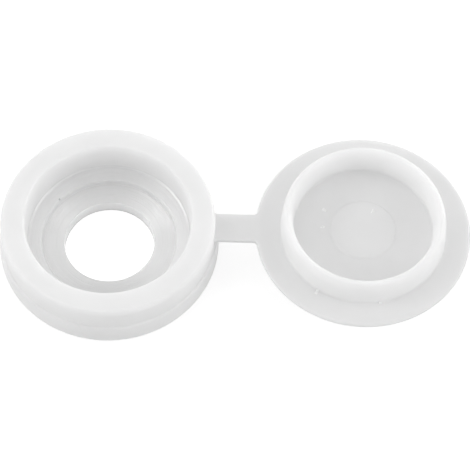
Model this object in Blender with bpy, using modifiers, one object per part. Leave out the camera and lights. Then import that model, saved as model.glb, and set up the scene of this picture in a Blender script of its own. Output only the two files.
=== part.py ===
"""Screw cover cap: a screw washer, a flat strap and a snap-in cap, moulded as one piece.

Lengths are in metres, +Z is up and the underside of the washer lies on Z = 0. The cap lies open
beside the washer, on +X, with its inner face and its ring up. The origin is the middle of the
bounding box, at its bottom.
"""

import math

import bpy

MM = 0.001

# Turned shapes: how many flats make one turn, and how many make the quarter round of an edge.
TURN_STEPS = 64
EDGE_STEPS = 4

# Washer, outside.
LOWER_RADIUS = 6.50 * MM
UPPER_RADIUS = 6.30 * MM
WASHER_HEIGHT = 3.60 * MM
RIM_ROUND = 0.28 * MM
LEDGE_HEIGHT = 1.92 * MM
LEDGE_WIDTH = 0.08 * MM
LEDGE_FALL = 0.04 * MM
FOOT_ROUND = 0.88 * MM

# Washer, inside: mouth, seat for the screw's head, step and screw hole.
MOUTH_RADIUS = 4.83 * MM
MOUTH_ROUND = 0.25 * MM
WALL_DRAFT = 0.01 * MM
SEAT_TOP = 1.60 * MM
SEAT_BOTTOM = 1.24 * MM
SEAT_INNER_RADIUS = 4.06 * MM
SEAT_STEPS = 4
SEAT_RISER_SHARE = 0.30
FLOOR_HEIGHT = 0.98 * MM
FLOOR_RADIUS = 3.79 * MM
HOLE_RADIUS = 2.66 * MM
HOLE_DRAFT = 0.06 * MM
HOLE_ROUND = 0.20 * MM
HOLE_CHAMFER = 0.06 * MM

# Strap between washer and cap.
STRAP_LENGTH = 2.32 * MM
STRAP_WIDTH = 1.78 * MM
STRAP_THICKNESS = 0.30 * MM
STRAP_TOP = 2.92 * MM
STRAP_EDGE = 0.05 * MM
STRAP_ROOT_ROUND = 0.25 * MM
STRAP_ROOT_DEPTH = 0.70 * MM
STRAP_ROOT_BITE = 0.02 * MM

# Cap disc: its rim is as thick as the strap, and its outer face is slightly domed.
CAP_RADIUS = UPPER_RADIUS + 0.02 * MM
DOME_RISE = 0.42 * MM
DOME_STEPS = 5
PAD_RADIUS = 1.99 * MM
PAD_RISE = 0.05 * MM
PAD_SLOPE = 0.06 * MM

# Cap ring: its foot is as wide as the washer's mouth, and it narrows to a rounded crest.
RING_FIT = 0.01 * MM
RING_RISE = 1.78 * MM
RING_CREST_THICKNESS = 0.625 * MM
RING_DRAFT = 0.04 * MM
RING_FOOT_ROUND = 0.12 * MM

# What follows from those.
CAP_DISTANCE = UPPER_RADIUS + STRAP_LENGTH + CAP_RADIUS
WASHER_X = -(CAP_DISTANCE + CAP_RADIUS - LOWER_RADIUS) / 2
CAP_X = WASHER_X + CAP_DISTANCE
STRAP_BOTTOM = STRAP_TOP - STRAP_THICKNESS
RING_FOOT_RADIUS = MOUTH_RADIUS - RING_FIT
RING_CREST_RADIUS = RING_FOOT_RADIUS - RING_DRAFT
RING_FOOT_INNER = RING_CREST_RADIUS - RING_CREST_THICKNESS - RING_DRAFT


def clear_scene():
    """Removes what the startup scene holds."""
    for item in list(bpy.data.objects):
        bpy.data.objects.remove(item, do_unlink=True)


def new_collection(name):
    """A collection of the scene."""
    made = bpy.data.collections.new(name)
    bpy.context.scene.collection.children.link(made)
    return made


def plastic():
    """Plain white moulded plastic with a satin face."""
    made = bpy.data.materials.new("white_moulded_plastic")
    made.use_nodes = True
    shader = made.node_tree.nodes["Principled BSDF"]
    shader.inputs["Base Color"].default_value = (0.80, 0.80, 0.79, 1.0)
    shader.inputs["Roughness"].default_value = 0.42
    shader.inputs["IOR"].default_value = 1.49
    return made


def arc(radius, height, bend, start, end, steps):
    """Points of an arc in the half plane of a turned shape, its ends included."""
    found = []
    for step in range(steps + 1):
        angle = math.radians(start + (end - start) * step / steps)
        found.append((radius + bend * math.cos(angle), height + bend * math.sin(angle)))
    return found


def washer_profile():
    """Closed outline: over the rim, down the outside, up the hole, over the seat, up to the mouth."""
    top = WASHER_HEIGHT
    outline = arc(UPPER_RADIUS - RIM_ROUND, top - RIM_ROUND, RIM_ROUND, 90, 0, EDGE_STEPS)
    outline.append((UPPER_RADIUS, LEDGE_HEIGHT + LEDGE_FALL))
    outline.append((UPPER_RADIUS + LEDGE_WIDTH, LEDGE_HEIGHT))
    outline += arc(LOWER_RADIUS - FOOT_ROUND, FOOT_ROUND, FOOT_ROUND, 0, -90, 7)
    outline.append((HOLE_RADIUS + HOLE_CHAMFER, 0.0))
    outline.append((HOLE_RADIUS, HOLE_CHAMFER))
    neck = HOLE_RADIUS + HOLE_DRAFT
    outline += arc(neck + HOLE_ROUND, FLOOR_HEIGHT - HOLE_ROUND, HOLE_ROUND, 180, 90, 3)
    outline.append((FLOOR_RADIUS, FLOOR_HEIGHT))
    outline += seat_steps()
    outline += arc(MOUTH_RADIUS + MOUTH_ROUND, top - MOUTH_ROUND, MOUTH_ROUND, 180, 90, EDGE_STEPS)
    return outline


def seat_steps():
    """The seat as shallow turned steps, from the inner edge out to the foot of the wall."""
    outer = MOUTH_RADIUS - WALL_DRAFT
    pitch = (outer - SEAT_INNER_RADIUS) / SEAT_STEPS
    rise = (SEAT_TOP - SEAT_BOTTOM) / SEAT_STEPS
    found = []
    for step in range(SEAT_STEPS):
        radius = SEAT_INNER_RADIUS + pitch * step
        height = SEAT_BOTTOM + rise * step
        found.append((radius, height))
        found.append((radius + pitch * (1 - SEAT_RISER_SHARE), height + rise * SEAT_RISER_SHARE))
    found.append((outer, SEAT_TOP))
    return found


def cap_profile():
    """Open outline from axis to axis: pad, floor, ring, flange, round rim and domed outer face."""
    floor = STRAP_TOP
    outline = [(0.0, floor + PAD_RISE), (PAD_RADIUS - PAD_SLOPE, floor + PAD_RISE)]
    outline.append((PAD_RADIUS, floor))
    bend = RING_FOOT_ROUND
    outline += arc(RING_FOOT_INNER - bend, floor + bend, bend, 270, 360, 3)
    half = RING_CREST_THICKNESS / 2
    outline += arc(RING_CREST_RADIUS - half, floor + RING_RISE - half, half, 180, 0, 8)
    outline += arc(RING_FOOT_RADIUS + bend, floor + bend, bend, 180, 270, 3)
    edge = STRAP_THICKNESS / 2
    outline += arc(CAP_RADIUS - edge, floor - edge, edge, 90, -90, 6)
    outline += dome()
    return outline


def dome():
    """Arc of the domed outer face, from the rim's lower edge in to the axis."""
    reach = CAP_RADIUS - STRAP_THICKNESS / 2
    bend = (reach**2 + DOME_RISE**2) / (2 * DOME_RISE)
    found = []
    for step in range(1, DOME_STEPS + 1):
        radius = reach * (1 - step / DOME_STEPS)
        drop = math.sqrt(bend**2 - radius**2) - (bend - DOME_RISE)
        found.append((radius, STRAP_BOTTOM - drop))
    return found


def strap_outline():
    """Plan of the strap, its root rounded into the washer's wall and its end inside the cap."""
    half = STRAP_WIDTH / 2
    bend = STRAP_ROOT_ROUND
    centre_y = half + bend
    centre_x = math.sqrt((UPPER_RADIUS + bend - STRAP_ROOT_BITE) ** 2 - centre_y**2)
    turn = math.degrees(math.atan2(centre_y, centre_x))
    side = [(UPPER_RADIUS - STRAP_ROOT_DEPTH, half)]
    side += arc(centre_x, centre_y, bend, 180 + turn, 270, 4)
    side.append((CAP_DISTANCE - CAP_RADIUS + STRAP_ROOT_DEPTH, half))
    return [(WASHER_X + x, y) for x, y in side] + [(WASHER_X + x, -y) for x, y in reversed(side)]


def turned(name, outline, closed, centre, collection):
    """An outline turned about the upright line through (centre, 0)."""
    count = len(outline)
    links = [(i, i + 1) for i in range(count - 1)]
    if closed:
        links.append((count - 1, 0))
    mesh = bpy.data.meshes.new(name)
    mesh.from_pydata([(radius, 0.0, height) for radius, height in outline], links, [])
    made = bpy.data.objects.new(name, mesh)
    made.location = (centre, 0.0, 0.0)
    collection.objects.link(made)
    screw = made.modifiers.new("turn", "SCREW")
    screw.steps = TURN_STEPS
    screw.render_steps = TURN_STEPS
    screw.use_merge_vertices = True
    screw.merge_threshold = 0.00001
    screw.use_smooth_shade = True
    return made


def flat_strap(name, collection):
    """The strap's plan raised to its thickness, with its long edges eased."""
    plan = strap_outline()
    count = len(plan)
    lower = [(x, y, STRAP_BOTTOM) for x, y in plan]
    upper = [(x, y, STRAP_TOP) for x, y in plan]
    faces = [list(range(count))[::-1], [count + i for i in range(count)]]
    for i in range(count):
        after = (i + 1) % count
        faces.append([i, after, count + after, count + i])
    mesh = bpy.data.meshes.new(name)
    mesh.from_pydata(lower + upper, [], faces)
    if mesh.polygons[0].normal.z > 0:
        mesh.flip_normals()
    made = bpy.data.objects.new(name, mesh)
    collection.objects.link(made)
    ease = made.modifiers.new("ease", "BEVEL")
    ease.width = STRAP_EDGE
    ease.segments = 2
    ease.limit_method = "ANGLE"
    ease.angle_limit = math.radians(50)
    return made


def joined(body, other):
    """Adds another shape to the body."""
    union = body.modifiers.new("join " + other.name, "BOOLEAN")
    union.operation = "UNION"
    union.solver = "EXACT"
    union.object = other
    other.hide_render = True
    other.display_type = "WIRE"


clear_scene()
whole = new_collection("screw_cover_cap")
helpers = new_collection("helpers")
helpers.hide_render = True
cap = turned("cap_shape", cap_profile(), False, CAP_X, helpers)
strap = flat_strap("strap_shape", helpers)
body = turned("screw_cover_cap", washer_profile(), True, WASHER_X, whole)
joined(body, strap)
joined(body, cap)
even = body.modifiers.new("even shading", "WEIGHTED_NORMAL")
even.keep_sharp = True
body.data.materials.append(plastic())
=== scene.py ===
# %% [markdown]
# A screw cover cap is a small plastic washer with a lid. The washer sits under a
# screw's head, and the lid folds over on a thin strap and snaps into the washer's
# mouth, so that the screw no longer shows. This lesson rebuilds one that lies open.
# The solid model comes first, as a fixed frame: every piece made here stays where
# that frame has it.

# %% Load the frame
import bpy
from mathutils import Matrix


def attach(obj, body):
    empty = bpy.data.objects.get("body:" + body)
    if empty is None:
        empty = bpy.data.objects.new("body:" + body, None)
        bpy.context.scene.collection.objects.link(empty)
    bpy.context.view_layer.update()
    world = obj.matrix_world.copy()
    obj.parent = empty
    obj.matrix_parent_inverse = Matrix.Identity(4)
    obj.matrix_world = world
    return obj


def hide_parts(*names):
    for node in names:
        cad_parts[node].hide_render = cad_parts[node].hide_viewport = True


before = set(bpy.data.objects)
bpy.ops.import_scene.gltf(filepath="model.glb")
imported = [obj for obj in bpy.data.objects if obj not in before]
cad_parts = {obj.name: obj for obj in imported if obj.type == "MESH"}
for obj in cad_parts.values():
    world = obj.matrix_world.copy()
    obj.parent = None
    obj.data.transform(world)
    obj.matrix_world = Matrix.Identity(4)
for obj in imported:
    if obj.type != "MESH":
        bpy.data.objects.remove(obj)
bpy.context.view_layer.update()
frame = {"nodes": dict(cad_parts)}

print("nodes in the frame:", ", ".join(frame["nodes"]))

# %% [markdown]
# Blender counts in metres, and this part is a few millimetres small, so its sizes are
# given in millimetres, times MM. The bench and the lights are large, and theirs are in
# metres. The modules are the ones that come with Blender.

# %% Modules and the unit
import math

import bmesh
import bpy
from mathutils import Matrix, Vector

MM = 0.001


def show(title, *values):
    """Prints one line of what a cell made."""
    print(title + ":", *[round(v, 3) if isinstance(v, float) else v for v in values])


# %% [markdown]
# The camera comes early, because every later choice is judged through it. The
# picture was taken from the front, about sixty degrees above the bench, with a long
# lens, which is why the round parts look like nearly true ellipses. A camera is
# placed here by the point that it looks at, its distance, and three angles.

# %% Camera
PICTURE_SIDE = 470
FOCAL_PIXELS = 2126.0
SENSOR_WIDTH = 36.0
LOOK_AT = Vector((0.076, 1.134, 0.0)) * MM
LOOK_DISTANCE = 127.784 * MM
LOOK_ELEVATION = math.radians(60.217)
LOOK_AZIMUTH = math.radians(-0.41)
LOOK_ROLL = math.radians(1.671)
NEAR_LIMIT = 5.0 * MM
FAR_LIMIT = 10000.0 * MM


def aimed_matrix(target, distance, azimuth, elevation, roll):
    """The place and turn of something that looks at target. Azimuth 0 looks along +Y."""
    back = Vector((
        math.sin(azimuth) * math.cos(elevation),
        -math.cos(azimuth) * math.cos(elevation),
        math.sin(elevation),
    ))
    right = Vector((math.cos(azimuth), math.sin(azimuth), 0.0))
    up = back.cross(right)
    rolled_right = right * math.cos(roll) + up * math.sin(roll)
    rolled_up = up * math.cos(roll) - right * math.sin(roll)
    turned = Matrix((rolled_right, rolled_up, back)).transposed()
    return Matrix.Translation(target + back * distance) @ turned.to_4x4()


camera_data = bpy.data.cameras.new("camera")
camera_data.sensor_fit = "HORIZONTAL"
camera_data.sensor_width = SENSOR_WIDTH
camera_data.lens = FOCAL_PIXELS * SENSOR_WIDTH / PICTURE_SIDE
camera_data.clip_start = NEAR_LIMIT
camera_data.clip_end = FAR_LIMIT
camera = bpy.data.objects.new("camera", camera_data)
bpy.context.scene.collection.objects.link(camera)
camera.matrix_world = aimed_matrix(
    LOOK_AT, LOOK_DISTANCE, LOOK_AZIMUTH, LOOK_ELEVATION, LOOK_ROLL
)
bpy.context.scene.camera = camera
show("lens in mm", camera_data.lens)

# %% [markdown]
# The washer and the cap are both turned shapes: take half of the cross-section and
# swing it once round an axis. The main sizes are those of the solid model, so the two
# agree. Only rounds, the ledge of the outer wall and the fall of the floor are finer
# here, and the scene adds what is too fine for a solid, such as tool marks. Where a
# round is part of an oval, a second size says how tall it is.

# %% Sizes of the washer
LOWER_RADIUS = 6.50 * MM
UPPER_RADIUS = 6.30 * MM
WASHER_HEIGHT = 3.60 * MM
RIM_ROUND = 0.20 * MM
RIM_TALL = 0.45 * MM
LEDGE_HEIGHT = 1.85 * MM
LEDGE_WIDTH = 0.11 * MM
LEDGE_FALL = 0.15 * MM
FOOT_ROUND = 0.88 * MM
MOUTH_RADIUS = 4.83 * MM
MOUTH_ROUND = 0.15 * MM
MOUTH_TALL = 0.60 * MM
WALL_DRAFT = 0.01 * MM
WALL_FOOT_ROUND = 0.22 * MM
SEAT_TOP = 1.60 * MM
SEAT_BOTTOM = 1.24 * MM
SEAT_INNER_RADIUS = 4.06 * MM
FLOOR_HEIGHT = 0.98 * MM
FLOOR_FALL = 0.12 * MM
HOLE_RADIUS = 2.66 * MM
HOLE_DRAFT = 0.02 * MM
HOLE_ROUND = 0.03 * MM
HOLE_CHAMFER = 0.03 * MM
STEP_ROUND = 0.14 * MM
STEP_RADIUS = 4.01 * MM
EDGE_ROUND = 0.11 * MM
RELIEF_WIDTH = 0.05 * MM
RELIEF_DEPTH = 0.015 * MM
RELIEF_FLANK = 0.3
STEP_RISE_ANGLE = 8

WALL_RADIUS = MOUTH_RADIUS - WALL_DRAFT
SEAT_SLOPE = math.atan2(SEAT_TOP - SEAT_BOTTOM, WALL_RADIUS - SEAT_INNER_RADIUS)
show("slope of the seat in degrees", math.degrees(SEAT_SLOPE))

# %% Sizes of the strap and the cap
STRAP_LENGTH = 2.32 * MM
STRAP_WIDTH = 1.78 * MM
STRAP_THICKNESS = 0.30 * MM
STRAP_TOP = 2.92 * MM
STRAP_EDGE = 0.05 * MM
STRAP_ROOT_ROUND = 0.25 * MM
STRAP_ROOT_DEPTH = 0.70 * MM
STRAP_ROOT_BITE = 0.02 * MM
CAP_RADIUS = UPPER_RADIUS + 0.02 * MM
DOME_RISE = 0.42 * MM
PAD_RADIUS = 1.99 * MM
PAD_RISE = 0.045 * MM
PAD_SLOPE = 0.14 * MM
RING_FIT = 0.01 * MM
RING_RISE = 1.78 * MM
RING_CREST_THICKNESS = 0.625 * MM
RING_CREST_TALL = 0.80 * MM
RING_DRAFT = 0.04 * MM
RING_FOOT_ROUND = 0.12 * MM

CAP_DISTANCE = UPPER_RADIUS + STRAP_LENGTH + CAP_RADIUS
WASHER_X = -(CAP_DISTANCE + CAP_RADIUS - LOWER_RADIUS) / 2
CAP_X = WASHER_X + CAP_DISTANCE
RING_FOOT_RADIUS = MOUTH_RADIUS - RING_FIT
RING_CREST_RADIUS = RING_FOOT_RADIUS - RING_DRAFT
RING_FOOT_INNER = RING_CREST_RADIUS - RING_CREST_THICKNESS - RING_DRAFT
show("washer axis and cap axis in mm", WASHER_X / MM, CAP_X / MM)

# %% [markdown]
# An outline is a list of (radius, height) points. A few small helpers draw most of
# it: an arc for rounded corners, which can be part of an oval, a run of short steps
# for a straight stretch, and a run of tool marks. The real mould was cut on a
# lathe, and the cutter left fine rings on the seat and the floor that every
# moulded washer copies. They are shallow, one or two hundredths of a millimetre, but
# they catch the light, so they are made as real shape. No two neighbours are as deep.

# %% Helpers for an outline
def arc(radius, height, bend, start, end, steps, tall=None):
    """Points of an arc in degrees, its ends included. With tall it is part of an oval."""
    rise = bend if tall is None else tall
    found = []
    for step in range(steps + 1):
        angle = math.radians(start + (end - start) * step / steps)
        found.append((radius + bend * math.cos(angle), height + rise * math.sin(angle)))
    return found


def soft_step(start, end, steps, upright):
    """An S between two points, level at its ends, or upright at its ends."""
    found = []
    for step in range(steps + 1):
        even = step / steps
        eased = 0.5 - 0.5 * math.cos(math.pi * even)
        across, along = (eased, even) if upright else (even, eased)
        found.append((
            start[0] + (end[0] - start[0]) * across,
            start[1] + (end[1] - start[1]) * along,
        ))
    return found


def stretch(start, end, steps):
    """Points between two points, both ends included."""
    return [
        (
            start[0] + (end[0] - start[0]) * step / steps,
            start[1] + (end[1] - start[1]) * step / steps,
        )
        for step in range(steps + 1)
    ]


GROOVE_SECTION = ((0.30, 0.85), (0.55, 1.0), (0.80, 0.55), (1.0, 0.0))
GROOVE_DEPTH_MEAN = 0.55
GROOVE_DEPTH_SWING = 0.45
GROOVE_DEPTH_TURN = 2.4
GROOVE_DEPTH_START = 0.8


def tool_marks(start, end, widths, depth):
    """A stretch cut by rounded grooves. widths say how wide each is beside the others."""
    total = sum(widths)
    found = [start]
    at = 0.0
    for number, width in enumerate(widths):
        wave = math.sin(GROOVE_DEPTH_TURN * number + GROOVE_DEPTH_START)
        low = depth * (GROOVE_DEPTH_MEAN + GROOVE_DEPTH_SWING * wave)
        for part, drop in GROOVE_SECTION:
            share = (at + part * width) / total
            found.append((
                start[0] + (end[0] - start[0]) * share,
                start[1] + (end[1] - start[1]) * share - low * drop,
            ))
        at += width
    return found


# %% [markdown]
# The washer's outline runs from the mouth's rim over the top, down the outside to
# the rounded foot, in along the underside, up through the screw hole and over the
# floor and the seat back to the mouth. The floor falls a little towards the hole, and
# a fine groove runs round the hole's edge. The cap's outline starts on its axis on the
# pad, climbs over the snap ring and returns under the domed outer face. The round of
# the step starts a few degrees up, where the sloping floor meets it. The counts of
# steps say into how many short stretches each round or straight run is cut.

# %% Outlines of the washer and the cap
RUN_STEPS = 6
LONG_RUN_STEPS = 8
SMALL_ROUND_STEPS = 6
LARGE_ROUND_STEPS = 12
LEDGE_STEPS = 8
FOOT_STEPS = 18
CREST_STEPS = 22
RIM_STEPS = 10
DOME_STEPS = 16
SEAT_GROOVES = (0.5, 1.0, 0.4, 1.3, 0.6, 0.9)
FLOOR_GROOVES = (1.0, 0.7, 1.2, 0.8, 0.6, 1.1, 0.9, 0.7, 1.3, 0.8, 1.0)
SEAT_GROOVE_DEPTH = 0.021 * MM
FLOOR_GROOVE_DEPTH = 0.011 * MM


def wall_foot():
    """The round that joins the sloping seat to the upright wall."""
    bend = WALL_FOOT_ROUND
    centre = SEAT_TOP - bend * math.tan(SEAT_SLOPE) + bend / math.cos(SEAT_SLOPE)
    start = 270 + math.degrees(SEAT_SLOPE)
    return arc(WALL_RADIUS - bend, centre, bend, start, 360, SMALL_ROUND_STEPS)


def seat_edge():
    """The rounded inner edge of the seat, from the step's wall up to the slope."""
    bend = EDGE_ROUND
    radius = STEP_RADIUS + bend
    level = SEAT_BOTTOM + (radius - SEAT_INNER_RADIUS) * math.tan(SEAT_SLOPE)
    centre = level - bend / math.cos(SEAT_SLOPE)
    return arc(radius, centre, bend, 180, 90 + math.degrees(SEAT_SLOPE), SMALL_ROUND_STEPS)


def washer_outline():
    """Half of the washer's cross-section, closed."""
    top = WASHER_HEIGHT
    mouth = MOUTH_RADIUS + MOUTH_ROUND
    neck = HOLE_RADIUS + HOLE_DRAFT
    rim = UPPER_RADIUS - RIM_ROUND
    outline = stretch((mouth, top), (rim, top), RUN_STEPS)[:-1]
    outline += arc(rim, top - RIM_TALL, RIM_ROUND, 90, 0, LARGE_ROUND_STEPS, RIM_TALL)
    ledge = (UPPER_RADIUS, LEDGE_HEIGHT + LEDGE_FALL)
    outline += stretch(outline[-1], ledge, RUN_STEPS)[1:]
    below = (UPPER_RADIUS + LEDGE_WIDTH, LEDGE_HEIGHT)
    outline += soft_step(ledge, below, LEDGE_STEPS, True)[1:]
    outline += arc(LOWER_RADIUS - FOOT_ROUND, FOOT_ROUND, FOOT_ROUND, 0, -90, FOOT_STEPS)
    hole_edge = (HOLE_RADIUS + HOLE_CHAMFER, 0.0)
    outline += stretch((LOWER_RADIUS - FOOT_ROUND, 0.0), hole_edge, LONG_RUN_STEPS)[1:]
    outline.append((HOLE_RADIUS, HOLE_CHAMFER))
    lead = FLOOR_HEIGHT - FLOOR_FALL
    lip = neck + HOLE_ROUND
    outline += arc(lip, lead - HOLE_ROUND, HOLE_ROUND, 180, 90, SMALL_ROUND_STEPS)
    relief = lip + RELIEF_WIDTH
    for share in (1 - RELIEF_FLANK, RELIEF_FLANK):
        outline.append((relief - share * RELIEF_WIDTH, lead - RELIEF_DEPTH))
    step = arc(
        STEP_RADIUS - STEP_ROUND, FLOOR_HEIGHT + STEP_ROUND, STEP_ROUND,
        270 + STEP_RISE_ANGLE, 360, SMALL_ROUND_STEPS,
    )
    outline += tool_marks((relief, lead), step[0], FLOOR_GROOVES, FLOOR_GROOVE_DEPTH)
    outline += step[1:]
    edge = seat_edge()
    foot = wall_foot()
    outline += edge
    outline += tool_marks(edge[-1], foot[0], SEAT_GROOVES, SEAT_GROOVE_DEPTH)[1:]
    outline += foot[1:]
    low = top - MOUTH_TALL
    outline += stretch(foot[-1], (MOUTH_RADIUS, low), LONG_RUN_STEPS)[1:]
    outline += arc(mouth, low, MOUTH_ROUND, 180, 90, LARGE_ROUND_STEPS, MOUTH_TALL)[1:]
    return outline


def cap_outline():
    """Half of the cap's cross-section, from the axis to the axis."""
    floor = STRAP_TOP
    bend = RING_FOOT_ROUND
    half = RING_CREST_THICKNESS / 2
    edge = STRAP_THICKNESS / 2
    rim = CAP_RADIUS - edge
    pad_edge = (PAD_RADIUS - PAD_SLOPE, floor + PAD_RISE)
    pad_foot = (PAD_RADIUS, floor)
    outline = stretch((0.0, floor + PAD_RISE), pad_edge, RUN_STEPS)
    outline += soft_step(pad_edge, pad_foot, SMALL_ROUND_STEPS, False)[1:]
    outline += stretch(pad_foot, (RING_FOOT_INNER - bend, floor), LONG_RUN_STEPS)[1:-1]
    outline += arc(RING_FOOT_INNER - bend, floor + bend, bend, 270, 360, SMALL_ROUND_STEPS)
    outline += arc(
        RING_CREST_RADIUS - half, floor + RING_RISE - RING_CREST_TALL, half,
        180, 0, CREST_STEPS, RING_CREST_TALL,
    )
    outline += arc(RING_FOOT_RADIUS + bend, floor + bend, bend, 180, 270, SMALL_ROUND_STEPS)
    outline += stretch((RING_FOOT_RADIUS + bend, floor), (rim, floor), RUN_STEPS)[1:-1]
    outline += arc(rim, floor - edge, edge, 90, -90, RIM_STEPS)
    sphere = (rim**2 + DOME_RISE**2) / (2 * DOME_RISE)
    widest = math.asin(rim / sphere)
    for step in range(DOME_STEPS - 1, -1, -1):
        angle = widest * step / DOME_STEPS
        drop = sphere * (math.cos(angle) - math.cos(widest))
        outline.append((sphere * math.sin(angle), floor - STRAP_THICKNESS - drop))
    return outline


show("points in the washer's outline", len(washer_outline()))
show("points in the cap's outline", len(cap_outline()))

# %% [markdown]
# Geometry Nodes do the turning. A modifier such as Screw could do it too, but a
# node tree states the rule in the open: a flat grid has one column of points for
# each point of the outline and one row for each step of the turn, and each grid
# point is moved to its radius, height and angle. A few helpers keep the wiring
# readable.

# %% Helpers for node trees
def add_node(tree, kind, **settings):
    """A new node with these settings."""
    made = tree.nodes.new(kind)
    for name, value in settings.items():
        setattr(made, name, value)
    return made


def feed(tree, socket, value):
    """Links another socket to this one, or sets its value."""
    if isinstance(value, bpy.types.NodeSocket):
        tree.links.new(value, socket)
    else:
        socket.default_value = value


def maths(tree, operation, first, second=0.0, third=0.0):
    """The output of one Math node."""
    made = add_node(tree, "ShaderNodeMath", operation=operation)
    for socket, value in zip(made.inputs, (first, second, third)):
        feed(tree, socket, value)
    return made.outputs[0]


def vector_maths(tree, operation, first, second=None):
    """The output of one Vector Math node."""
    made = add_node(tree, "ShaderNodeVectorMath", operation=operation)
    feed(tree, made.inputs[0], first)
    if second is not None:
        feed(tree, made.inputs[1], second)
    return made.outputs[0]


def new_shape_tree(name, sockets):
    """An empty Geometry Nodes tree with named inputs, its input node and its output node."""
    tree = bpy.data.node_groups.new(name, "GeometryNodeTree")
    tree.interface.new_socket("Geometry", in_out="INPUT", socket_type="NodeSocketGeometry")
    for label, kind in sockets:
        tree.interface.new_socket(label, in_out="INPUT", socket_type=kind)
    tree.interface.new_socket("Geometry", in_out="OUTPUT", socket_type="NodeSocketGeometry")
    return tree, add_node(tree, "NodeGroupInput"), add_node(tree, "NodeGroupOutput")


# %% The tree that turns an outline round an axis
def turning_tree():
    """Swings an outline round an upright axis and closes the seam."""
    tree, given, result = new_shape_tree("Turn an outline", (
        ("Outline", "NodeSocketObject"),
        ("Turn Steps", "NodeSocketInt"),
        ("Axis X", "NodeSocketFloat"),
        ("Weld Distance", "NodeSocketFloat"),
        ("Plastic", "NodeSocketMaterial"),
    ))
    outline = add_node(tree, "GeometryNodeObjectInfo")
    feed(tree, outline.inputs["Object"], given.outputs["Outline"])
    count = add_node(tree, "GeometryNodeAttributeDomainSize")
    feed(tree, count.inputs[0], outline.outputs["Geometry"])
    rows = maths(tree, "ADD", given.outputs["Turn Steps"], 1.0)
    grid = add_node(tree, "GeometryNodeMeshGrid")
    feed(tree, grid.inputs["Vertices X"], count.outputs["Point Count"])
    feed(tree, grid.inputs["Vertices Y"], rows)
    index = add_node(tree, "GeometryNodeInputIndex").outputs[0]
    column = maths(tree, "FLOOR", maths(tree, "DIVIDE", maths(tree, "ADD", index, 0.5), rows))
    row = maths(tree, "SUBTRACT", index, maths(tree, "MULTIPLY", column, rows))
    place = add_node(tree, "GeometryNodeInputPosition").outputs[0]
    sample = add_node(tree, "GeometryNodeSampleIndex", data_type="FLOAT_VECTOR")
    feed(tree, sample.inputs["Geometry"], outline.outputs["Geometry"])
    feed(tree, sample.inputs["Value"], place)
    feed(tree, sample.inputs["Index"], column)
    parts = add_node(tree, "ShaderNodeSeparateXYZ")
    feed(tree, parts.inputs[0], sample.outputs[0])
    turn = maths(tree, "DIVIDE", row, given.outputs["Turn Steps"])
    angle = maths(tree, "MULTIPLY", turn, math.tau)
    along = maths(tree, "MULTIPLY", parts.outputs["X"], maths(tree, "COSINE", angle))
    across = maths(tree, "MULTIPLY", parts.outputs["X"], maths(tree, "SINE", angle))
    joined = add_node(tree, "ShaderNodeCombineXYZ")
    feed(tree, joined.inputs["X"], maths(tree, "ADD", along, given.outputs["Axis X"]))
    feed(tree, joined.inputs["Y"], across)
    feed(tree, joined.inputs["Z"], parts.outputs["Z"])
    placed = add_node(tree, "GeometryNodeSetPosition")
    feed(tree, placed.inputs["Geometry"], grid.outputs["Mesh"])
    feed(tree, placed.inputs["Position"], joined.outputs[0])
    welded = add_node(tree, "GeometryNodeMergeByDistance")
    feed(tree, welded.inputs["Geometry"], placed.outputs[0])
    feed(tree, welded.inputs["Distance"], given.outputs["Weld Distance"])
    realized = add_node(tree, "GeometryNodeRealizeInstances")
    feed(tree, realized.inputs[0], welded.outputs[0])
    finished = add_node(tree, "GeometryNodeSetMaterial")
    feed(tree, finished.inputs["Geometry"], realized.outputs[0])
    feed(tree, finished.inputs["Material"], given.outputs["Plastic"])
    feed(tree, result.inputs[0], finished.outputs[0])
    return tree


TURNING = turning_tree()
show("nodes in the turning tree", len(TURNING.nodes))

# %% [markdown]
# A tree is put on an object as a modifier, and its inputs are set by each socket's
# identifier. Baking the result to a plain mesh and dropping the modifier leaves an
# ordinary object, as a moulder gets a part and not a drawing.

# %% Helpers that run a tree and bake it
def new_object(name, mesh):
    """A mesh object in the scene."""
    made = bpy.data.objects.new(name, mesh)
    bpy.context.scene.collection.objects.link(made)
    return made


def outline_object(name, outline):
    """The outline's points as loose vertices, radius along X and height along Z."""
    mesh = bpy.data.meshes.new(name)
    mesh.from_pydata([(radius, 0.0, height) for radius, height in outline], [], [])
    return new_object(name, mesh)


def baked(name, tree, values):
    """Runs the tree with these named inputs and returns a plain mesh object."""
    helper = new_object(name + "_helper", bpy.data.meshes.new(name + "_helper"))
    modifier = helper.modifiers.new("shape", "NODES")
    modifier.node_group = tree
    named = {item.name: item.identifier for item in tree.interface.items_tree}
    for label, value in values.items():
        modifier[named[label]] = value
    graph = bpy.context.evaluated_depsgraph_get()
    mesh = bpy.data.meshes.new_from_object(helper.evaluated_get(graph))
    helper.modifiers.remove(modifier)
    bpy.data.objects.remove(helper, do_unlink=True)
    mesh.name = name
    return new_object(name, mesh)


def measured(item):
    """Triangles, open edges and volume in cubic millimetres of a mesh object."""
    work = bmesh.new()
    work.from_mesh(item.data)
    open_edges = sum(1 for edge in work.edges if not edge.is_manifold)
    triangles = sum(len(face.verts) - 2 for face in work.faces)
    volume = work.calc_volume(signed=True) / MM**3
    work.free()
    return triangles, open_edges, volume


# %% [markdown]
# The plastic. Screw caps like this one are moulded in natural white nylon or
# polythene: satin, a little waxy, and not quite opaque. Light sinks in and comes out
# again nearby, so thick walls look full white and the thin strap and cap look
# greyer. A shader group holds what all its faces share: faint clouds in the
# white, a satin that changes a little from place to place, and the fine grain of
# the mould's steel.

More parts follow.
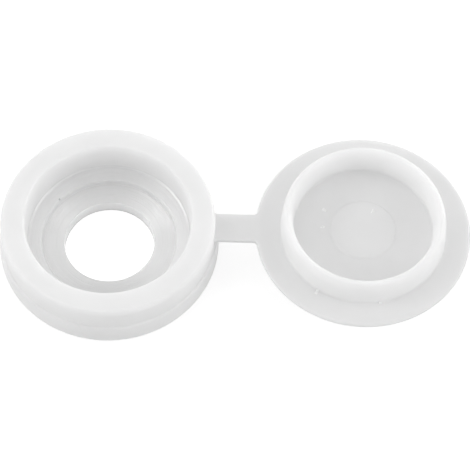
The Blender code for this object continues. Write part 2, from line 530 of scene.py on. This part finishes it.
# %% A shader group for the moulded surface
def new_shader_group(name, inputs, outputs):
    """An empty shader group with named sockets."""
    group = bpy.data.node_groups.new(name, "ShaderNodeTree")
    for label, kind, value in inputs:
        socket = group.interface.new_socket(label, in_out="INPUT", socket_type=kind)
        socket.default_value = value
    for label, kind in outputs:
        group.interface.new_socket(label, in_out="OUTPUT", socket_type=kind)
    return group, add_node(group, "NodeGroupInput"), add_node(group, "NodeGroupOutput")


def noise(tree, place, scale, detail, seed):
    """A noise value that is fixed to the piece."""
    made = add_node(tree, "ShaderNodeTexNoise", noise_dimensions="4D")
    feed(tree, made.inputs["Vector"], place)
    feed(tree, made.inputs["W"], seed)
    feed(tree, made.inputs["Scale"], scale)
    feed(tree, made.inputs["Detail"], detail)
    return made.outputs[0]


def ramped(tree, value, low, high, to_low=0.0, to_high=1.0):
    """A value mapped from one range to another, held at its ends."""
    made = add_node(tree, "ShaderNodeMapRange")
    for socket, number in zip(made.inputs, (value, low, high, to_low, to_high)):
        feed(tree, socket, number)
    return made.outputs[0]


def mixed_tone(tree, share, first, second):
    """A colour between two others."""
    made = add_node(tree, "ShaderNodeMix", data_type="RGBA")
    feed(tree, made.inputs["Factor"], share)
    feed(tree, made.inputs[6], first)
    feed(tree, made.inputs[7], second)
    return made.outputs[2]


CLOUD_DETAIL = 3.0
PATCH_DETAIL = 2.0
CLOUD_RANGE = (0.35, 0.65)
CLOUD_SEED = 1.7
GRAIN_SEED = 5.1
SATIN_RANGE = (0.3, 0.7)
SATIN_SEED = 3.3
SATIN_FINENESS = 2.3


def moulded_surface_group():
    """Cloudy white, a satin that varies, and the grain of the mould."""
    group, given, result = new_shader_group(
        "Moulded surface",
        (
            ("Light Tone", "NodeSocketColor", (0.8, 0.8, 0.8, 1.0)),
            ("Dark Tone", "NodeSocketColor", (0.7, 0.7, 0.7, 1.0)),
            ("Cloud Scale", "NodeSocketFloat", 400.0),
            ("Grain Scale", "NodeSocketFloat", 9000.0),
            ("Satin Low", "NodeSocketFloat", 0.35),
            ("Satin High", "NodeSocketFloat", 0.50),
        ),
        (
            ("Colour", "NodeSocketColor"),
            ("Roughness", "NodeSocketFloat"),
            ("Grain", "NodeSocketFloat"),
        ),
    )
    place = add_node(group, "ShaderNodeTexCoord").outputs["Object"]
    cloud_scale = given.outputs["Cloud Scale"]
    clouds = noise(group, place, cloud_scale, CLOUD_DETAIL, CLOUD_SEED)
    tone = mixed_tone(
        group, ramped(group, clouds, *CLOUD_RANGE),
        given.outputs["Dark Tone"], given.outputs["Light Tone"],
    )
    grain = noise(group, place, given.outputs["Grain Scale"], PATCH_DETAIL, GRAIN_SEED)
    patch_scale = maths(group, "MULTIPLY", cloud_scale, SATIN_FINENESS)
    patches = noise(group, place, patch_scale, PATCH_DETAIL, SATIN_SEED)
    satin = ramped(
        group, patches, *SATIN_RANGE, given.outputs["Satin Low"], given.outputs["Satin High"]
    )
    feed(group, result.inputs["Colour"], tone)
    feed(group, result.inputs["Roughness"], satin)
    feed(group, result.inputs["Grain"], grain)
    return group


MOULDED_SURFACE = moulded_surface_group()
show("nodes in the moulded surface", len(MOULDED_SURFACE.nodes))

# %% [markdown]
# Every finish starts from the same plastic. Light sinks into it and comes out again
# about a millimetre away, which is what makes this plastic look waxy.

# %% The plastic
PLASTIC_IOR = 1.49
SINK_WEIGHT = 1.0
SINK_DEPTH = 1.2 * MM
SINK_BY_COLOUR = (1.0, 1.0, 1.0)
LIGHT_TONE = 0.84
DARK_TONE = 0.82


def grey(value):
    """A neutral colour from one linear value."""
    return (value, value, value, 1.0)


def plastic(name, satin, grain_depth, light=LIGHT_TONE, dark=DARK_TONE):
    """A finish of the white plastic, with its satin as two roughness values."""
    made = bpy.data.materials.new(name)
    made.use_nodes = True
    tree = made.node_tree
    shader = tree.nodes["Principled BSDF"]
    surface = add_node(tree, "ShaderNodeGroup", node_tree=MOULDED_SURFACE)
    feed(tree, surface.inputs["Light Tone"], grey(light))
    feed(tree, surface.inputs["Dark Tone"], grey(dark))
    feed(tree, surface.inputs["Satin Low"], satin[0])
    feed(tree, surface.inputs["Satin High"], satin[1])
    bump = add_node(tree, "ShaderNodeBump")
    height = maths(tree, "MULTIPLY", surface.outputs["Grain"], grain_depth)
    feed(tree, bump.inputs["Height"], height)
    feed(tree, bump.inputs["Distance"], 1.0)
    feed(tree, shader.inputs["Base Color"], surface.outputs["Colour"])
    feed(tree, shader.inputs["Roughness"], surface.outputs["Roughness"])
    feed(tree, shader.inputs["Normal"], bump.outputs["Normal"])
    shader.inputs["IOR"].default_value = PLASTIC_IOR
    shader.inputs["Subsurface Weight"].default_value = SINK_WEIGHT
    shader.inputs["Subsurface Radius"].default_value = SINK_BY_COLOUR
    shader.inputs["Subsurface Scale"].default_value = SINK_DEPTH
    return made


# %% [markdown]
# The lathe's finest marks are too narrow even for the mesh. They run round the
# washer's axis, and their flanks tip the surface inwards and outwards by turns.
# That makes turned faces shine in fans, brightest where the grooves run across the
# light. Both turned finishes need the direction across the grooves for it, and the
# floor's also needs to know how far along the outline a point lies.

# %% Directions of the turning marks
def across_grooves(tree, axis_x):
    """The way across the grooves, the way the face looks, and the place on the outline."""
    place = add_node(tree, "ShaderNodeTexCoord").outputs["Object"]
    from_axis = vector_maths(tree, "SUBTRACT", place, (axis_x, 0.0, 0.0))
    round_axis = add_node(tree, "ShaderNodeVectorMath", operation="CROSS_PRODUCT")
    round_axis.inputs[0].default_value = (0.0, 0.0, 1.0)
    feed(tree, round_axis.inputs[1], from_axis)
    along = vector_maths(tree, "NORMALIZE", round_axis.outputs[0])
    facing = add_node(tree, "ShaderNodeNewGeometry").outputs["Normal"]
    across = vector_maths(tree, "CROSS_PRODUCT", along, facing)
    level = vector_maths(tree, "MULTIPLY", from_axis, (1.0, 1.0, 0.0))
    length = add_node(tree, "ShaderNodeVectorMath", operation="LENGTH")
    feed(tree, length.inputs[0], level)
    height = add_node(tree, "ShaderNodeSeparateXYZ")
    feed(tree, height.inputs[0], place)
    way = maths(tree, "ADD", length.outputs["Value"], height.outputs["Z"])
    return across, facing, way


# %% [markdown]
# On the seat the gloss is stretched across the grooves, which the shader does by
# itself once it has that direction as its tangent. The floor and the hole were
# polished further. Their gloss is a coat of its own, whose normal is tipped to
# both sides by a fine wave, while the plastic under it keeps its plain normal. The
# round at the foot of the wall has a plain coat, which draws a thin bright arc on
# each side, where the round turns from the floor's direction to the wall's.

# %% Turned and polished finishes
BRUSHED_SHARE = 0.95
GROOVE_PITCH = 0.05 * MM
GROOVE_STEEPNESS = 0.70
GROOVE_VARIETY = (0.6, 1.4)
GROOVE_NOISE_SCALE = 9000.0
GROOVE_NOISE_RANGE = (0.3, 0.7)
FLOOR_COAT_IOR = 2.8
FLOOR_COAT_ROUGHNESS = 0.25
CORNER_COAT_IOR = 1.95
CORNER_COAT_ROUGHNESS = 0.24


def coat(shader, bending, roughness):
    """Lays a full clear coat over a finish."""
    shader.inputs["Coat Weight"].default_value = 1.0
    shader.inputs["Coat IOR"].default_value = bending
    shader.inputs["Coat Roughness"].default_value = roughness


def brushed_seat(made):
    """Stretches the gloss of a finish across the grooves."""
    tree = made.node_tree
    shader = tree.nodes["Principled BSDF"]
    feed(tree, shader.inputs["Tangent"], across_grooves(tree, WASHER_X)[0])
    shader.inputs["Anisotropic"].default_value = BRUSHED_SHARE
    return made


def polished_floor(made):
    """Adds a coat whose normal is tipped by the grooves."""
    tree = made.node_tree
    shader = tree.nodes["Principled BSDF"]
    across, facing, way = across_grooves(tree, WASHER_X)
    turns = maths(tree, "DIVIDE", way, GROOVE_PITCH)
    wave = maths(tree, "SINE", maths(tree, "MULTIPLY", turns, math.tau))
    rings = add_node(tree, "ShaderNodeTexNoise", noise_dimensions="1D")
    feed(tree, rings.inputs["W"], way)
    feed(tree, rings.inputs["Scale"], GROOVE_NOISE_SCALE)
    feed(tree, rings.inputs["Detail"], 1.0)
    gentle, steep = (share * GROOVE_STEEPNESS for share in GROOVE_VARIETY)
    depth = ramped(tree, rings.outputs[0], *GROOVE_NOISE_RANGE, gentle, steep)
    tilt = add_node(tree, "ShaderNodeVectorMath", operation="SCALE")
    feed(tree, tilt.inputs[0], across)
    feed(tree, tilt.inputs["Scale"], maths(tree, "MULTIPLY", wave, depth))
    tipped = vector_maths(tree, "ADD", facing, tilt.outputs[0])
    feed(tree, shader.inputs["Coat Normal"], vector_maths(tree, "NORMALIZE", tipped))
    coat(shader, FLOOR_COAT_IOR, FLOOR_COAT_ROUGHNESS)
    return made


def polished_corner(made):
    """Adds a plain coat, for the round at the wall's foot."""
    coat(made.node_tree.nodes["Principled BSDF"], CORNER_COAT_IOR, CORNER_COAT_ROUGHNESS)
    return made


# %% [markdown]
# Five finishes follow from these, and two more for the flaws: the specks get a paler
# tone than the rest, which is a painted highlight, and the nick gets a darker tone.
# Each has its satin, as the roughness of its glossiest and its dullest spots, and
# the depth of its grain. Only the flaws have a light and a dark tone of their own.

# %% The plastic's finishes
FINE_GRAIN = 0.0003 * MM
MOULD_GRAIN = 0.0004 * MM
COARSE_GRAIN = 0.0005 * MM
GLOSSY_SATIN = (0.36, 0.46)

THICK_PLASTIC = plastic("thick_white_plastic", GLOSSY_SATIN, MOULD_GRAIN)
THIN_PLASTIC = plastic("thin_white_plastic", (0.38, 0.50), COARSE_GRAIN)
SEAT_PLASTIC = brushed_seat(plastic("turned_seat_plastic", (0.40, 0.52), FINE_GRAIN))
FLOOR_PLASTIC = polished_floor(plastic("turned_floor_plastic", GLOSSY_SATIN, FINE_GRAIN))
CORNER_PLASTIC = polished_corner(
    plastic("polished_corner_plastic", GLOSSY_SATIN, FINE_GRAIN)
)
# The specks' paler tone is a painted highlight, standing in for the glint on each pimple.
SPECK_HIGHLIGHT_PLASTIC = plastic("speck_painted_highlight_plastic", (0.30, 0.40), FINE_GRAIN, 0.97, 0.96)
# The nick gets a darker tone than the rest.
NICK_PLASTIC = plastic("dark_nick_plastic", (0.60, 0.70), COARSE_GRAIN, 0.58, 0.50)
show("finishes", *[
    finish.name
    for finish in (
        THICK_PLASTIC, THIN_PLASTIC, SEAT_PLASTIC, FLOOR_PLASTIC,
        CORNER_PLASTIC, SPECK_HIGHLIGHT_PLASTIC, NICK_PLASTIC,
    )
])

# %% [markdown]
# Now the two turned bodies are made. Each is checked as a closed body that faces
# outwards, which a positive volume shows.

# %% Turn the washer and the cap
TURN_STEPS = 192
WELD_DISTANCE = 0.0005 * MM


def turned_body(name, outline, axis_x, finish):
    """One body from its outline."""
    points = outline_object(name + "_outline", outline)
    made = baked(name, TURNING, {
        "Outline": points,
        "Turn Steps": TURN_STEPS,
        "Axis X": axis_x,
        "Weld Distance": WELD_DISTANCE,
        "Plastic": finish,
    })
    bpy.data.objects.remove(points, do_unlink=True)
    return made


washer = turned_body("washer", washer_outline(), WASHER_X, THICK_PLASTIC)
cap = turned_body("cap", cap_outline(), CAP_X, THIN_PLASTIC)
show("washer: triangles, open edges, mm3", *measured(washer))
show("cap: triangles, open edges, mm3", *measured(cap))

# %% [markdown]
# The strap is a flat band whose ends widen a little where they meet the two round
# walls, because a moulder never leaves a sharp inner corner there: it would tear
# after a few folds. Its plan is drawn as one outline, given its thickness, and its
# long edges are broken by a small bevel.

# %% Strap
ROOT_STEPS = 8
BEVEL_STEPS = 3
BEVEL_FULLNESS = 0.5


def root_centre(wall_radius, across):
    """How far from its wall's axis a root round is centred, and at what angle."""
    reach = wall_radius + STRAP_ROOT_ROUND - STRAP_ROOT_BITE
    along = math.sqrt(reach**2 - across**2)
    return along, math.degrees(math.atan2(across, along))


def strap_plan():
    """Corner points of the strap seen from above, counter-clockwise."""
    half = STRAP_WIDTH / 2
    bend = STRAP_ROOT_ROUND
    centre_y = half + bend
    near_x, near_turn = root_centre(UPPER_RADIUS, centre_y)
    far_x, far_turn = root_centre(CAP_RADIUS, centre_y)
    back = [(UPPER_RADIUS - STRAP_ROOT_DEPTH, half)]
    back += arc(near_x, centre_y, bend, 180 + near_turn, 270, ROOT_STEPS)
    back += arc(CAP_DISTANCE - far_x, centre_y, bend, 270, 360 - far_turn, ROOT_STEPS)
    back.append((CAP_DISTANCE - CAP_RADIUS + STRAP_ROOT_DEPTH, half))
    outline = list(reversed(back)) + [(x, -y) for x, y in back]
    return [(x + WASHER_X, y) for x, y in outline]


def flat_body(name, plan, low, high, edge, finish):
    """A plan given a thickness, with its long edges bevelled."""
    work = bmesh.new()
    face = work.faces.new([work.verts.new((x, y, low)) for x, y in plan])
    raised = bmesh.ops.extrude_face_region(work, geom=[face])["geom"]
    tops = [item for item in raised if isinstance(item, bmesh.types.BMVert)]
    bmesh.ops.translate(work, verts=tops, vec=(0.0, 0.0, high - low))
    bmesh.ops.recalc_face_normals(work, faces=work.faces)
    middle = (high + low) / 2
    rims = [
        side for side in work.edges
        if (side.verts[0].co.z > middle) == (side.verts[1].co.z > middle)
    ]
    bmesh.ops.bevel(
        work, geom=rims, offset=edge, segments=BEVEL_STEPS, profile=BEVEL_FULLNESS,
        affect="EDGES", clamp_overlap=True,
    )
    mesh = bpy.data.meshes.new(name)
    work.to_mesh(mesh)
    work.free()
    mesh.materials.append(finish)
    return new_object(name, mesh)


strap = flat_body(
    "strap", strap_plan(), STRAP_TOP - STRAP_THICKNESS, STRAP_TOP, STRAP_EDGE, THIN_PLASTIC
)
show("strap: triangles, open edges, mm3", *measured(strap))

# %% [markdown]
# The real cap is moulded in one shot, so the three bodies become one. A second tree
# joins them with a Boolean union, marks the edges that stay crisp by their angle,
# and hands out the finishes by place: the turned floor and seat of the washer, the
# round between seat and wall, the thin strap and disc, the small flaws, and the
# thick rest.

# %% The tree that makes one moulding
def compare(tree, operation, first, second):
    """A true or false field from two numbers."""
    made = add_node(tree, "FunctionNodeCompare", data_type="FLOAT", operation=operation)
    feed(tree, made.inputs[0], first)
    feed(tree, made.inputs[1], second)
    return made.outputs[0]


def both(tree, first, second):
    """True where both fields are true."""
    made = add_node(tree, "FunctionNodeBooleanMath", operation="AND")
    feed(tree, made.inputs[0], first)
    feed(tree, made.inputs[1], second)
    return made.outputs[0]


def between(tree, value, low, high):
    """True where a value lies between two limits."""
    above = compare(tree, "GREATER_THAN", value, low)
    return both(tree, above, compare(tree, "LESS_THAN", value, high))


def distance_from(tree, place, axis_x):
    """Distance of a point from an upright axis."""
    shifted = maths(tree, "SUBTRACT", place.outputs["X"], axis_x)
    return maths(tree, "SQRT", maths(
        tree, "ADD", maths(tree, "MULTIPLY", shifted, shifted),
        maths(tree, "MULTIPLY", place.outputs["Y"], place.outputs["Y"]),
    ))


BALL_FINENESS = 4


def balls(tree, places, radius):
    """A small ball round each point of an object."""
    points = add_node(tree, "GeometryNodeObjectInfo")
    feed(tree, points.inputs["Object"], places)
    ball = add_node(tree, "GeometryNodeMeshIcoSphere")
    feed(tree, ball.inputs["Radius"], radius)
    feed(tree, ball.inputs["Subdivisions"], BALL_FINENESS)
    spread = add_node(tree, "GeometryNodeInstanceOnPoints")
    feed(tree, spread.inputs["Points"], points.outputs["Geometry"])
    feed(tree, spread.inputs["Instance"], ball.outputs["Mesh"])
    single = add_node(tree, "GeometryNodeRealizeInstances")
    feed(tree, single.inputs[0], spread.outputs[0])
    return single.outputs[0]


def moulding_tree():
    """Joins the washer, the strap and the cap, and gives each zone its finish."""
    tree, given, result = new_shape_tree("One moulding", (
        ("Washer", "NodeSocketObject"),
        ("Strap", "NodeSocketObject"),
        ("Cap", "NodeSocketObject"),
        ("Sharp Angle", "NodeSocketFloat"),
        ("Washer Axis X", "NodeSocketFloat"),
        ("Seat Inner Radius", "NodeSocketFloat"),
        ("Seat Outer Radius", "NodeSocketFloat"),
        ("Corner Radius", "NodeSocketFloat"),
        ("Corner Top", "NodeSocketFloat"),
        ("Floor Outer Radius", "NodeSocketFloat"),
        ("Underside", "NodeSocketFloat"),
        ("Seat Top", "NodeSocketFloat"),
        ("Washer Radius", "NodeSocketFloat"),
        ("Specks", "NodeSocketObject"),
        ("Speck Radius", "NodeSocketFloat"),
        ("Nicks", "NodeSocketObject"),
        ("Nick Radius", "NodeSocketFloat"),
        ("Nick Place", "NodeSocketVector"),
        ("Thick Plastic", "NodeSocketMaterial"),
        ("Seat Plastic", "NodeSocketMaterial"),
        ("Corner Plastic", "NodeSocketMaterial"),
        ("Floor Plastic", "NodeSocketMaterial"),
        ("Thin Plastic", "NodeSocketMaterial"),
        ("Speck Highlight Plastic", "NodeSocketMaterial"),
        ("Nick Plastic", "NodeSocketMaterial"),
    ))
    union = add_node(tree, "GeometryNodeMeshBoolean", operation="UNION", solver="MANIFOLD")
    for label in ("Washer", "Strap", "Cap"):
        body = add_node(tree, "GeometryNodeObjectInfo")
        feed(tree, body.inputs["Object"], given.outputs[label])
        tree.links.new(body.outputs["Geometry"], union.inputs["Mesh 2"])
    specks = balls(tree, given.outputs["Specks"], given.outputs["Speck Radius"])
    tree.links.new(specks, union.inputs["Mesh 2"])
    cut = add_node(tree, "GeometryNodeMeshBoolean", operation="DIFFERENCE", solver="MANIFOLD")
    feed(tree, cut.inputs["Mesh 1"], union.outputs[0])
    tree.links.new(
        balls(tree, given.outputs["Nicks"], given.outputs["Nick Radius"]), cut.inputs["Mesh 2"]
    )
    angle = add_node(tree, "GeometryNodeInputMeshEdgeAngle").outputs["Unsigned Angle"]
    smooth_faces = add_node(tree, "GeometryNodeSetShadeSmooth", domain="FACE")
    feed(tree, smooth_faces.inputs["Geometry"], cut.outputs[0])
    crisp = add_node(tree, "GeometryNodeSetShadeSmooth", domain="EDGE")
    feed(tree, crisp.inputs["Geometry"], smooth_faces.outputs[0])
    feed(tree, crisp.inputs["Selection"], compare(
        tree, "GREATER_THAN", angle, given.outputs["Sharp Angle"]
    ))
    crisp.inputs["Shade Smooth"].default_value = False
    position = add_node(tree, "GeometryNodeInputPosition").outputs[0]
    from_nick = add_node(tree, "ShaderNodeVectorMath", operation="DISTANCE")
    feed(tree, from_nick.inputs[0], position)
    feed(tree, from_nick.inputs[1], given.outputs["Nick Place"])
    in_nick = compare(
        tree, "LESS_THAN", from_nick.outputs["Value"], given.outputs["Nick Radius"]
    )
    speck_points = add_node(tree, "GeometryNodeObjectInfo")
    feed(tree, speck_points.inputs["Object"], given.outputs["Specks"])
    nearest = add_node(tree, "GeometryNodeProximity", target_element="POINTS")
    feed(tree, nearest.inputs[0], speck_points.outputs["Geometry"])
    on_speck = compare(
        tree, "LESS_THAN", nearest.outputs["Distance"], given.outputs["Speck Radius"]
    )
    place = add_node(tree, "ShaderNodeSeparateXYZ")
    feed(tree, place.inputs[0], position)
    radius = distance_from(tree, place, given.outputs["Washer Axis X"])
    height = place.outputs["Z"]
    underside = given.outputs["Underside"]
    seat_outer = given.outputs["Seat Outer Radius"]
    in_recess = between(tree, height, underside, given.outputs["Seat Top"])
    on_seat = both(tree, in_recess, between(
        tree, radius, given.outputs["Seat Inner Radius"], seat_outer
    ))
    in_corner = both(
        tree,
        between(tree, height, underside, given.outputs["Corner Top"]),
        between(tree, radius, seat_outer, given.outputs["Corner Radius"]),
    )
    on_floor = both(tree, in_recess, compare(
        tree, "LESS_THAN", radius, given.outputs["Floor Outer Radius"]
    ))
    beyond = compare(tree, "GREATER_THAN", radius, given.outputs["Washer Radius"])
    last = add_node(tree, "GeometryNodeRealizeInstances")
    feed(tree, last.inputs[0], crisp.outputs[0])
    for label, zone in (
        ("Thick Plastic", True), ("Seat Plastic", on_seat), ("Corner Plastic", in_corner),
        ("Floor Plastic", on_floor), ("Thin Plastic", beyond),
        ("Speck Highlight Plastic", on_speck), ("Nick Plastic", in_nick),
    ):
        finished = add_node(tree, "GeometryNodeSetMaterial")
        feed(tree, finished.inputs["Geometry"], last.outputs[0])
        feed(tree, finished.inputs["Selection"], zone)
        feed(tree, finished.inputs["Material"], given.outputs[label])
        last = finished
    feed(tree, result.inputs[0], last.outputs[0])
    return tree


MOULDING = moulding_tree()
show("nodes in the moulding tree", len(MOULDING.nodes))

# %% [markdown]
# No moulding is perfect. This one has five pimples on its cap, where the mould was
# pitted, and one nick in the edge of the seat. Each is a small ball, added or cut
# away, and is given by where it sits: an azimuth and a radius on its round part, and
# the height of the ball's centre.

# %% Flaws
SPECK_RADIUS = 0.085 * MM
SPECK_SINK = 0.035 * MM
DEEP_SPECK_SINK = 1.2 * SPECK_SINK
FOOT_SPECK_RISE = 0.045 * MM
NICK_RADIUS = 0.06 * MM
NICK_INSET = 0.3 * EDGE_ROUND


def on_round_part(axis_x, azimuth, radius, height):
    """A point of a round part from its azimuth in degrees."""
    turn = math.radians(azimuth)
    return Vector((axis_x + radius * math.cos(turn), radius * math.sin(turn), height))


def loose_points(name, places):
    """An object that only holds points."""
    mesh = bpy.data.meshes.new(name)
    mesh.from_pydata(places, [], [])
    return new_object(name, mesh)


speck_places = [
    on_round_part(CAP_X, 176.0, 2.36 * MM, STRAP_TOP - SPECK_SINK),
    on_round_part(CAP_X, 150.0, 2.53 * MM, STRAP_TOP - DEEP_SPECK_SINK),
    on_round_part(CAP_X, 63.0, 1.40 * MM, STRAP_TOP + PAD_RISE - DEEP_SPECK_SINK),
    on_round_part(CAP_X, 237.0, 4.92 * MM, STRAP_TOP + FOOT_SPECK_RISE),
    on_round_part(CAP_X, 281.0, 4.93 * MM, STRAP_TOP + FOOT_SPECK_RISE),
]
nick_place = on_round_part(WASHER_X, 140.0, STEP_RADIUS + NICK_INSET, SEAT_BOTTOM)
specks = loose_points("specks", speck_places)
nicks = loose_points("nicks", [nick_place])
show("specks and nicks", len(specks.data.vertices), len(nicks.data.vertices))

# %% [markdown]
# Where one finish ends and the next begins is worked out from the sizes. The limits
# lie inside the rounds, so that a border never falls on an edge, and a small margin
# keeps faces that lie just on a limit on the right side of it.

# %% Zones of the finishes
SHARP_ANGLE = math.radians(32.0)
ZONE_MARGIN = 0.01 * MM
FLOOR_MARGIN = 0.03 * MM
ROUND_SHARE = 0.6
SEAT_ZONE_INNER = STEP_RADIUS + ROUND_SHARE * EDGE_ROUND
SEAT_ZONE_OUTER = MOUTH_RADIUS - ROUND_SHARE * WALL_FOOT_ROUND
CORNER_ZONE_TOP = SEAT_TOP + 0.5 * WALL_FOOT_ROUND
FLOOR_ZONE_RADIUS = STEP_RADIUS - STEP_ROUND + FLOOR_MARGIN
ZONE_BOTTOM = 0.5 * HOLE_CHAMFER

# %% Join the three bodies
moulding = baked("screw_cover_moulding", MOULDING, {
    "Washer": washer,
    "Strap": strap,
    "Cap": cap,
    "Sharp Angle": SHARP_ANGLE,
    "Washer Axis X": WASHER_X,
    "Seat Inner Radius": SEAT_ZONE_INNER,
    "Seat Outer Radius": SEAT_ZONE_OUTER,
    "Corner Radius": MOUTH_RADIUS,
    "Corner Top": CORNER_ZONE_TOP,
    "Floor Outer Radius": FLOOR_ZONE_RADIUS,
    "Underside": ZONE_BOTTOM,
    "Seat Top": SEAT_TOP + ZONE_MARGIN,
    "Washer Radius": LOWER_RADIUS + ZONE_MARGIN,
    "Specks": specks,
    "Speck Radius": SPECK_RADIUS,
    "Nicks": nicks,
    "Nick Radius": NICK_RADIUS,
    "Nick Place": nick_place,
    "Thick Plastic": THICK_PLASTIC,
    "Seat Plastic": SEAT_PLASTIC,
    "Corner Plastic": CORNER_PLASTIC,
    "Floor Plastic": FLOOR_PLASTIC,
    "Thin Plastic": THIN_PLASTIC,
    "Speck Highlight Plastic": SPECK_HIGHLIGHT_PLASTIC,
    "Nick Plastic": NICK_PLASTIC,
})
for body in (washer, strap, cap, specks, nicks):
    bpy.data.objects.remove(body, do_unlink=True)
show("moulding: triangles, open edges, mm3", *measured(moulding))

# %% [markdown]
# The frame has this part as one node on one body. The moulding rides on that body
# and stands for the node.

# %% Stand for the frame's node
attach(moulding, "root")
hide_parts("screw_cover_cap")

# %% [markdown]
# The floor is a light table, a bench of white acrylic that is lit from below, on
# which small parts throw no shadow. A real one outshines the part, and the camera's
# exposure turns it plain white. So it has several strengths here: a weak glow that
# reaches the part from below, an extra one that only the camera sees, one that
# only shows as a mirror image in the glossy faces, and a little more under the
# screw hole, which lights the hole's wall.

# %% Floor
FLOOR_SIDE = 1.2
FLOOR_TONE = 0.50
FLOOR_TONE_SPREAD = 0.01
FLOOR_CLOUD_SCALE = 6.0
FLOOR_SEED = 0.4
FLOOR_ROUGHNESS = 0.7
FLOOR_SHINE = 0.2
FLOOR_GLOW = 0.130
CAMERA_GLOW = 0.55
MIRROR_GLOW = 0.60
HOLE_GLOW = 0.08


def floor_finish():
    """Pale acrylic, lit from below."""
    made = bpy.data.materials.new("pale_bench")
    made.use_nodes = True
    tree = made.node_tree
    shader = tree.nodes["Principled BSDF"]
    place = add_node(tree, "ShaderNodeTexCoord").outputs["Object"]
    clouds = noise(tree, place, FLOOR_CLOUD_SCALE, PATCH_DETAIL, FLOOR_SEED)
    tone = mixed_tone(tree, clouds, grey(FLOOR_TONE), grey(FLOOR_TONE - FLOOR_TONE_SPREAD))
    feed(tree, shader.inputs["Base Color"], tone)
    shader.inputs["Roughness"].default_value = FLOOR_ROUGHNESS
    shader.inputs["Specular IOR Level"].default_value = FLOOR_SHINE
    path = add_node(tree, "ShaderNodeLightPath")
    glow = maths(tree, "MULTIPLY_ADD", path.outputs["Is Camera Ray"], CAMERA_GLOW, FLOOR_GLOW)
    glow = maths(tree, "MULTIPLY_ADD", path.outputs["Is Glossy Ray"], MIRROR_GLOW, glow)
    from_hole = add_node(tree, "ShaderNodeVectorMath", operation="DISTANCE")
    feed(tree, from_hole.inputs[0], place)
    feed(tree, from_hole.inputs[1], (WASHER_X, 0.0, 0.0))
    in_hole = maths(tree, "LESS_THAN", from_hole.outputs["Value"], HOLE_RADIUS)
    glow = maths(tree, "MULTIPLY_ADD", in_hole, HOLE_GLOW, glow)
    shader.inputs["Emission Color"].default_value = grey(1.0)
    feed(tree, shader.inputs["Emission Strength"], glow)
    return made


def flat_square(name, side, height, finish):
    """A square sheet that faces up."""
    half = side / 2
    corners = [(-half, -half), (half, -half), (half, half), (-half, half)]
    mesh = bpy.data.meshes.new(name)
    mesh.from_pydata([(x, y, height) for x, y in corners], [], [(0, 1, 2, 3)])
    mesh.materials.append(finish)
    return new_object(name, mesh)


floor = flat_square("floor", FLOOR_SIDE, 0.0, floor_finish())

# %% [markdown]
# The light is a soft tent: an even glow from all round, and softboxes on both sides,
# which give the washer's rim and the crest of the ring their bright edges and leave
# the side that faces the camera a little darker. Two stand very low, so that the
# turned floor shines in two fans. Each softbox is listed by where it stands: its
# azimuth counts from the right and runs counter-clockwise, seen from above, and its
# elevation is its height over the bench, both in degrees. Its power in watts is last.

# %% Lights
SKY_STRENGTH = 0.562
BOX_DISTANCE = 0.40
BOX_WIDTH = 0.20
BOX_HEIGHT = 0.12
SOFTBOXES = (
    ("right", 0, 26, 0.196),
    ("right_upper", 0, 44, 0.085),
    ("right_back", 30, 26, 0.052),
    ("right_front", 330, 26, 0.127),
    ("front_low", 300, 8, 0.156),
    ("left", 180, 26, 0.323),
    ("left_high", 180, 62, 0.050),
    ("left_front", 210, 26, 0.136),
    ("left_front_upper", 210, 44, 0.025),
    ("back_low", 60, 8, 0.403),
    ("back", 120, 26, 0.110),
    ("back_high", 120, 62, 0.071),
)


def softbox(name, azimuth, elevation, power):
    """A rectangle of light that faces the middle of the bench."""
    data = bpy.data.lights.new("softbox_" + name, "AREA")
    data.shape = "RECTANGLE"
    data.size = BOX_WIDTH
    data.size_y = BOX_HEIGHT
    data.energy = power
    made = bpy.data.objects.new("softbox_" + name, data)
    bpy.context.scene.collection.objects.link(made)
    turn = math.radians(azimuth)
    rise = math.radians(elevation)
    towards = Vector((
        math.cos(turn) * math.cos(rise), math.sin(turn) * math.cos(rise), math.sin(rise)
    ))
    made.location = towards * BOX_DISTANCE
    made.rotation_euler = towards.to_track_quat("Z", "Y").to_euler()
    return made


world = bpy.data.worlds.new("soft_tent")
world.use_nodes = True
world.node_tree.nodes["Background"].inputs["Color"].default_value = grey(1.0)
world.node_tree.nodes["Background"].inputs["Strength"].default_value = SKY_STRENGTH
bpy.context.scene.world = world
boxes = [softbox(*place) for place in SOFTBOXES]
show("softboxes", len(boxes))

# %% [markdown]
# White plastic on white needs honest greys, so the picture is shown without a film
# curve.

# %% Colour management
settings = bpy.context.scene.view_settings
settings.view_transform = "Standard"
settings.look = "None"
settings.exposure = 0.0
settings.gamma = 1.0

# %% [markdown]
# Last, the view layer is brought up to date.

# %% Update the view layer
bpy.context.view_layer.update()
